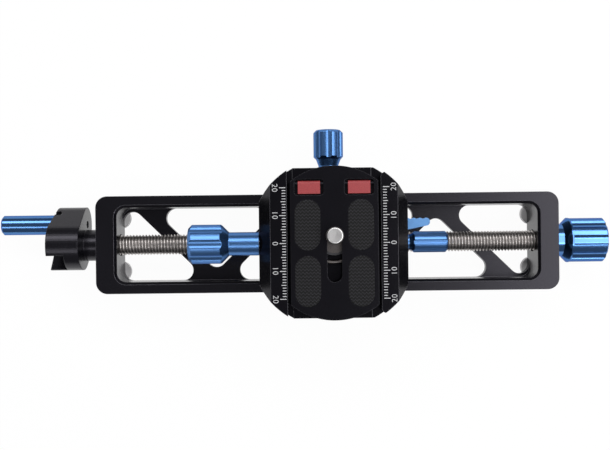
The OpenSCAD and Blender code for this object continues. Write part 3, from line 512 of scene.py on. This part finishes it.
def thread_share(turn):
    """How far a thread stands out at a share of its pitch: 1 on the crest, 0 in the root."""
    away = abs(turn % 1.0 - 0.5)
    return min(1.0, max(0.0, (THREAD_FOOT - away) / THREAD_FLANK))


def plain(radius):
    """A ring's radius that is the same all round."""
    return lambda turn: radius


def threaded(crest, depth, start):
    """A ring's radius where a thread passes; start is the ring's place in pitches."""
    return lambda turn: crest - depth * (1 - thread_share(start - turn))


def joined_rings(rings, sides, place):
    """A round surface from rings, each a place on the axis and a radius for each share of a turn.

    place turns (along, across, up) into a point of the scene."""
    verts, faces = [], []
    for along, radius_at in rings:
        for j in range(sides):
            angle = 2 * math.pi * j / sides
            r = radius_at(j / sides)
            verts.append(place(along, r * math.cos(angle), r * math.sin(angle)))
    for first in range(0, len(verts) - sides, sides):
        for j in range(sides):
            k = (j + 1) % sides
            faces.append((first + j, first + k, first + sides + k, first + sides + j))
    return verts, faces


def close_with_fan(verts, faces, first, sides, centre, outward):
    """Closes the ring of points that starts at first with triangles round a centre."""
    hub = len(verts)
    verts.append(centre)
    for j in range(sides):
        k = (j + 1) % sides
        edge = (first + j, first + k) if outward else (first + k, first + j)
        faces.append((hub, *edge))


def lead_screw():
    """The lead screw with its rolled thread, plain where it sits in the knob and the crank."""
    a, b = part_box("lead_screw")
    radius = (b.y - a.y) / 2
    centre = (a + b) / 2
    pitch = SCREW_PITCH * MM
    thread_end = high("rail_frame").x - SCREW_END_IN_WALL * MM

    def place(x, y, z):
        return (x, centre.y + y, centre.z + z)

    rings = [(a.x, plain(radius)), (-thread_end, plain(radius))]
    for x in steps(-thread_end, thread_end, pitch / SCREW_STEPS_A_PITCH)[1:-1]:
        rings.append((x, threaded(radius, SCREW_ROOT * MM, x / pitch)))
    rings += [(thread_end, plain(radius)), (b.x, plain(radius))]
    verts, faces = joined_rings(rings, SCREW_SIDES, place)
    last = len(verts) - SCREW_SIDES
    close_with_fan(verts, faces, 0, SCREW_SIDES, place(a.x, 0, 0), outward=False)
    close_with_fan(verts, faces, last, SCREW_SIDES, place(b.x, 0, 0), outward=True)
    piece = mesh_piece("threaded_lead_screw", verts, faces, "screw_steel", "drive", smooth=True)
    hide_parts("lead_screw")


def flange_rings(radius, start, end, neck_end):
    """The camera screw's flange with its broken edges, and its neck in the plate's slot."""
    lower, upper = FLANGE_LOWER_EDGE * MM, FLANGE_UPPER_EDGE * MM
    return [
        (start, plain(radius - lower)),
        (start + lower, plain(radius)),
        (end - upper, plain(radius)),
        (end, plain(radius - upper)),
        (end, plain(NECK_RADIUS * MM)),
        (neck_end, plain(NECK_RADIUS * MM)),
        (neck_end, plain((TIP_RADIUS - TIP_FOOT_CUT) * MM)),
    ]


def camera_thread_rings(start, end):
    """The camera screw's thread, which runs out towards its end."""
    pitch = CAMERA_PITCH * MM
    rings = []
    for z in steps(start, end, pitch / CAMERA_STEPS_A_PITCH):
        runout = min(1.0, (end - z) / (CAMERA_RUNOUT * MM))
        rings.append((z, threaded(TIP_RADIUS * MM, CAMERA_ROOT * MM * runout, z / pitch)))
    return rings


def tip_rings(top):
    """The tip's rounded edge and its end, dished a little as a lathe's tool leaves it."""
    rings = []
    for bend in CROWN_BENDS:
        drop = TIP_CROWN * (1 - math.sin(math.radians(bend)))
        inset = TIP_CROWN * (1 - math.cos(math.radians(bend)))
        rings.append((top - drop * MM, plain((TIP_RADIUS - inset) * MM)))
    face_radius = (TIP_RADIUS - TIP_CROWN) * MM
    rings.append((top, plain(face_radius)))
    for share, dish in TIP_DISH:
        rings.append((top - dish * MM, plain(face_radius * share)))
    return rings


def finish_camera_screw(piece, tip_start, plate_top):
    """Gives the end, its rounded edge, the thread and the hidden parts a finish each. The rounded edge
    and the parts under the plate's top get darker steel than the end, as painted shade.
    """
    for finish in ("bevel_steel", "camera_thread", "dark_steel"):
        piece.data.materials.append(materials[finish])
    for face in piece.data.polygons:
        z = face.center.z
        if z > tip_start:
            # The rounded edge gets darker steel than the end, as painted shade
            face.material_index = 0 if face.normal.z > FACING_UP else 1
        else:
            # Under the plate's top the screw is painted dark, as painted shade
            face.material_index = 2 if z > plate_top else 3
    piece.data.set_sharp_from_angle(angle=SHARP_ANGLE)


def camera_screw():
    """The camera screw: flange, neck, a threaded tip with a rounded edge, and the ring's lug."""
    a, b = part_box("camera_screw")
    centre = (a + b) / 2
    plate_top = high("release_plate").z
    flange_start = high("camera_ring").z + OVER_RING * MM
    flange_end = low("screw_washer").z - UNDER_WASHER * MM
    neck_end = plate_top + OVER_PLATE * MM
    tip_start = b.z - TIP_CROWN * MM

    def place(z, x, y):
        return (centre.x + x, centre.y + y, z)

    rings = flange_rings((b.x - a.x) / 2, flange_start, flange_end, neck_end)
    rings += camera_thread_rings(neck_end + THREAD_START * MM, tip_start)
    rings += tip_rings(b.z)
    verts, faces = joined_rings(rings, CAMERA_SIDES, place)
    last = len(verts) - CAMERA_SIDES
    faces.append(tuple(reversed(range(CAMERA_SIDES))))
    faces.append(tuple(range(last, last + CAMERA_SIDES)))
    half_x, half_y = LUG_HALF_X * MM, LUG_HALF_Y * MM
    add_box(verts, faces, (centre.x - half_x, centre.y - half_y, a.z),
            (centre.x + half_x, centre.y + half_y, flange_start + LUG_IN_FLANGE * MM))
    piece = mesh_piece("threaded_camera_screw", verts, faces, "bright_steel", "camera_screw",
                       smooth=True)
    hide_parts("camera_screw")
    finish_camera_screw(piece, tip_start, plate_top)


def scale_marks(side, body, inner, number_at):
    """A millimetre scale beside the plate, with its zero at the clamp's middle."""
    centre_x = middle("pan_spindle").x
    z = high("clamp_jaw").z
    verts, faces = [], []
    for mark in range(-SCALE_END, SCALE_END + 1):
        length = next(size for step, size in TICK_LENGTHS.items() if mark % step == 0)
        x0 = centre_x + side * inner * MM
        x1 = centre_x + side * (inner + length) * MM
        y0 = (mark * TICK_STEP - TICK_WIDTH / 2) * MM
        y1 = (mark * TICK_STEP + TICK_WIDTH / 2) * MM
        add_box(verts, faces, (min(x0, x1), y0, z), (max(x0, x1), y1, z + INK_THICKNESS * MM))
    mesh_piece(f"scale_marks_{body}", verts, faces, "scale_ink", body, smooth=False)
    for mark in range(-SCALE_END, SCALE_END + 1, NUMBER_STEP):
        number(f"scale_{body}_{mark + SCALE_END}", str(abs(mark)),
               (centre_x + side * number_at * MM, mark * TICK_STEP * MM, z), side, body)


def number_curve(name, text):
    curve = bpy.data.curves.new(name, "FONT")
    curve.body = text
    curve.size = DIGIT_HEIGHT / DIGIT_SHARE_OF_FONT * MM
    curve.extrude = INK_THICKNESS / 2 * MM
    curve.offset = -DIGIT_THINNING * MM
    curve.align_x = "CENTER"
    curve.align_y = "CENTER"
    curve.space_character = DIGIT_SPACING
    return curve


def number(name, text, place, side, body):
    """A printed number that reads along the scale, its top towards the plate."""
    written = new_object(name, number_curve(name, text))
    bpy.context.view_layer.update()
    depsgraph = bpy.context.evaluated_depsgraph_get()
    mesh = bpy.data.meshes.new_from_object(written.evaluated_get(depsgraph))
    bpy.data.objects.remove(written)
    turn = Matrix.Rotation(side * math.pi / 2, 4, "Z")
    lift = Matrix.Translation(Vector(place) + Vector((0, 0, INK_THICKNESS / 2 * MM)))
    mesh.transform(lift @ turn)
    # Centred on the ink itself, since a font's digits aren't quite in its middle
    shown = [v.co.y for v in mesh.vertices]
    mesh.transform(Matrix.Translation((0, place[1] - (min(shown) + max(shown)) / 2, 0)))
    mesh.materials.append(materials["scale_ink"])
    piece = new_object(name, mesh)
    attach(piece, body)


# Stage, lights and camera

def softbox(name, lean, away, size, radiance):
    """A soft box that faces the middle of the scene."""
    lean_x, lean_y = (math.tan(math.radians(angle)) for angle in lean)
    toward = Vector((lean_x, lean_y, 1)).normalized()
    light = bpy.data.lights.new(name, "AREA")
    light.shape = "RECTANGLE"
    light.size, light.size_y = size[0] * MM, size[1] * MM
    light.energy = radiance * math.pi * light.size * light.size_y
    up = toward.cross(Vector((1, 0, 0))).normalized()
    across = up.cross(toward).normalized()
    turn = Matrix((across, up, toward)).transposed().to_4x4()
    new_object(name, light).matrix_world = Matrix.Translation(toward * away * MM) @ turn


def bright_to_view(tree, base):
    """Shows white to the lens, mirrors and glass, and keeps a share of the true shading."""
    path = add(tree, "ShaderNodeLightPath").outputs
    lens_or_mirror = maths(tree, "MAXIMUM", path["Is Camera Ray"], path["Is Glossy Ray"])
    seen = maths(tree, "MAXIMUM", lens_or_mirror, path["Is Transmission Ray"])
    share = maths(tree, "MULTIPLY", seen, FLOOR_WHITE_SHARE)
    white = add(tree, "ShaderNodeEmission", Color=(*WHITE, 1), Strength=1.0)
    mix = add(tree, "ShaderNodeMixShader")
    tree.links.new(share, mix.inputs["Fac"])
    tree.links.new(base, mix.inputs[1])
    tree.links.new(white.outputs["Emission"], mix.inputs[2])
    return mix.outputs["Shader"]


def floor():
    bpy.ops.mesh.primitive_plane_add(size=FLOOR_SIZE, location=(0, 0, low("stop_screws").z))
    plane = bpy.context.object
    plane.name = "floor"
    tree, shader = new_material("floor_white")
    shader.inputs["Base Color"].default_value = (*FLOOR_GREY, 1)
    shader.inputs["Roughness"].default_value = 0.9
    out = next(n for n in tree.nodes if n.type == "OUTPUT_MATERIAL")
    tree.links.new(bright_to_view(tree, shader.outputs["BSDF"]), out.inputs["Surface"])
    plane.data.materials.append(materials["floor_white"])


def sky():
    """A grey room that the lens sees as white. The black faces mirror it grey, as photographed."""
    world = bpy.data.worlds.new("studio")
    bpy.context.scene.world = world
    world.use_nodes = True
    tree = world.node_tree
    back = next(n for n in tree.nodes if n.type == "BACKGROUND")
    back.inputs["Color"].default_value = (*SKY_GREY, 1)
    white = add(tree, "ShaderNodeBackground", Color=(*WHITE, 1), Strength=1.0)
    path = add(tree, "ShaderNodeLightPath")
    mix = add(tree, "ShaderNodeMixShader")
    out = next(n for n in tree.nodes if n.type == "OUTPUT_WORLD")
    tree.links.new(path.outputs["Is Camera Ray"], mix.inputs["Fac"])
    tree.links.new(back.outputs["Background"], mix.inputs[1])
    tree.links.new(white.outputs["Background"], mix.inputs[2])
    tree.links.new(mix.outputs["Shader"], out.inputs["Surface"])


def photo_camera():
    data = bpy.data.cameras.new("photo_camera")
    data.sensor_width = SENSOR_MM
    data.sensor_fit = "HORIZONTAL"
    data.lens = FOCAL_PX * SENSOR_MM / PHOTO_W
    data.shift_x = (PHOTO_W / 2 - NADIR_PX[0]) / PHOTO_W
    data.shift_y = (NADIR_PX[1] - PHOTO_H / 2) / PHOTO_W
    data.clip_start, data.clip_end = CLIP_START, CLIP_END
    obj = new_object("photo_camera", data)
    obj.location = CAMERA_PLACE
    obj.rotation_euler = (0, 0, -ROLL)
    bpy.context.scene.camera = obj


make_black_finishes()
make_blue_finishes()
make_metals()
pad_rubber()
red_coat()
scale_ink()
dress_cad()
lead_screw()
camera_screw()
scale_marks(-1, "clamp", inner=17.35, number_at=21.3)
scale_marks(1, "jaw", inner=17.65, number_at=21.5)
floor()
sky()
photo_camera()
for name, values in SOFTBOXES.items():
    softbox(name, *values)
bpy.context.scene.view_settings.view_transform = "Standard"
